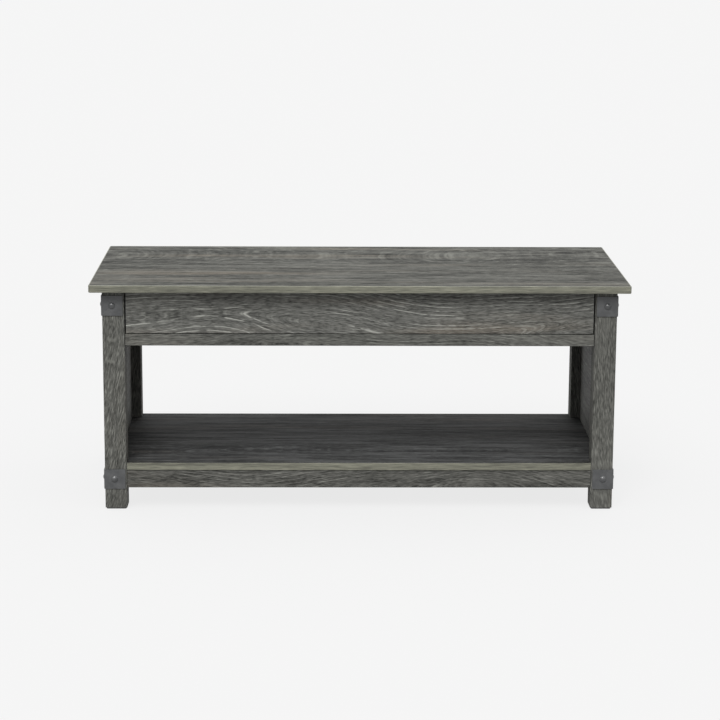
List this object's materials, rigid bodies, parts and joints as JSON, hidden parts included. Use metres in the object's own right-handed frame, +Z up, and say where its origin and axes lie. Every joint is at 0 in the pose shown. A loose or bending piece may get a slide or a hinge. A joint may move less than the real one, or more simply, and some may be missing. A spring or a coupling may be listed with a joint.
{
  "type": "lift top coffee table",
  "caption": "Rectangular coffee table with a top that lifts and swings forward on coupled arms, a hidden compartment and an open lower shelf.",
  "frame": {"origin": "on the floor, under the centre of the table", "axes": "+X along the table's length to the right, -Y towards the user, +Z up"},
  "size_m": [1.1, 0.5, 0.474],
  "materials": {
    "grey_oak": "matt dark grey oak laminate with light open grain",
    "edge_band": "matt olive grey edge band with fine lengthwise grain",
    "bracket_steel": "dark grey powder coat",
    "nail_steel": "dark grey domed nails",
    "foot_plastic": "dark grey moulded plastic",
    "bumper_rubber": "black rubber",
    "zinc": "zinc plated steel",
    "mechanism_black": "black painted steel",
    "spring_steel": "spring wire, zinc plated",
    "beech": "bare beech with fluted grain"
  },
  "bodies": {
    "case": {"leg_front_left": "grey_oak", "leg_front_right": "grey_oak", "leg_back_left": "grey_oak", "leg_back_right": "grey_oak", "foot_pads": "foot_plastic", "top_bumpers": "bumper_rubber", "front_apron": "grey_oak", "front_lower_rail": "grey_oak", "back_apron": "grey_oak", "side_panel_left": "grey_oak", "side_panel_right": "grey_oak", "compartment_floor": "grey_oak", "shelf": "grey_oak", "shelf_edge_bands": "edge_band", "shelf_front_rail": "grey_oak", "shelf_back_rail": "grey_oak", "bracket_upper_front_left": "bracket_steel", "bracket_upper_front_right": "bracket_steel", "bracket_upper_back_left": "bracket_steel", "bracket_upper_back_right": "bracket_steel", "bracket_lower_front_left": "bracket_steel", "bracket_lower_front_right": "bracket_steel", "bracket_lower_back_left": "bracket_steel", "bracket_lower_back_right": "bracket_steel", "bracket_nails_front_left": "nail_steel", "bracket_nails_front_right": "nail_steel", "bracket_nails_back_left": "nail_steel", "bracket_nails_back_right": "nail_steel", "cam_locks": "zinc", "cam_bolts": "zinc", "wood_dowels": "beech", "apron_angles": "mechanism_black", "apron_angle_screws": "zinc", "base_bracket_left": "mechanism_black", "base_bracket_right": "mechanism_black", "base_bracket_screws": "zinc", "base_pivot_pins": "zinc", "base_pivot_spacers": "zinc", "spring_anchor_studs": "zinc"},
    "rear_arms": {"rear_arm_left": "mechanism_black", "rear_arm_right": "mechanism_black", "cross_tube": "mechanism_black", "cross_tube_studs": "zinc", "spring_arm_studs": "zinc"},
    "front_arms": {"front_arm_left": "mechanism_black", "front_arm_right": "mechanism_black"},
    "top": {"top_panel": "grey_oak", "top_edge_band": "edge_band", "top_bracket_left": "mechanism_black", "top_bracket_right": "mechanism_black", "top_bracket_screws": "zinc", "top_pivot_pins": "zinc", "top_pivot_spacers": "zinc"},
    "lift_springs": {"lift_spring_left": "spring_steel", "lift_spring_right": "spring_steel"}
  },
  "joints": [
    {"name": "arm_lift", "type": "hinge", "parent": "case", "child": "rear_arms", "pos_m": [0, -0.01971, 0.385], "axis": [1, 0, 0], "range_deg": [0, 100]},
    {"name": "top_level", "type": "hinge", "parent": "rear_arms", "child": "top", "pos_m": [0, 0.1625, 0.417], "axis": [1, 0, 0], "range_deg": [-100, 0]},
    {"name": "front_arm_swing", "type": "hinge", "parent": "case", "child": "front_arms", "pos_m": [0, -0.06971, 0.405], "axis": [1, 0, 0], "range_deg": [0, 100]},
    {"name": "spring_swing", "type": "hinge", "parent": "case", "child": "lift_springs", "pos_m": [0, -0.08571, 0.387], "axis": [1, 0, 0], "range_deg": [0, 24], "deforming": ["lift_spring_left", "lift_spring_right"]}
  ],
  "couplings": [
    {"joint": "top_level", "follows": "arm_lift", "ratio": -1},
    {"joint": "front_arm_swing", "follows": "arm_lift", "ratio": 1},
    {"joint": "spring_swing", "follows": "arm_lift", "ratio": 0.233}
  ]
}
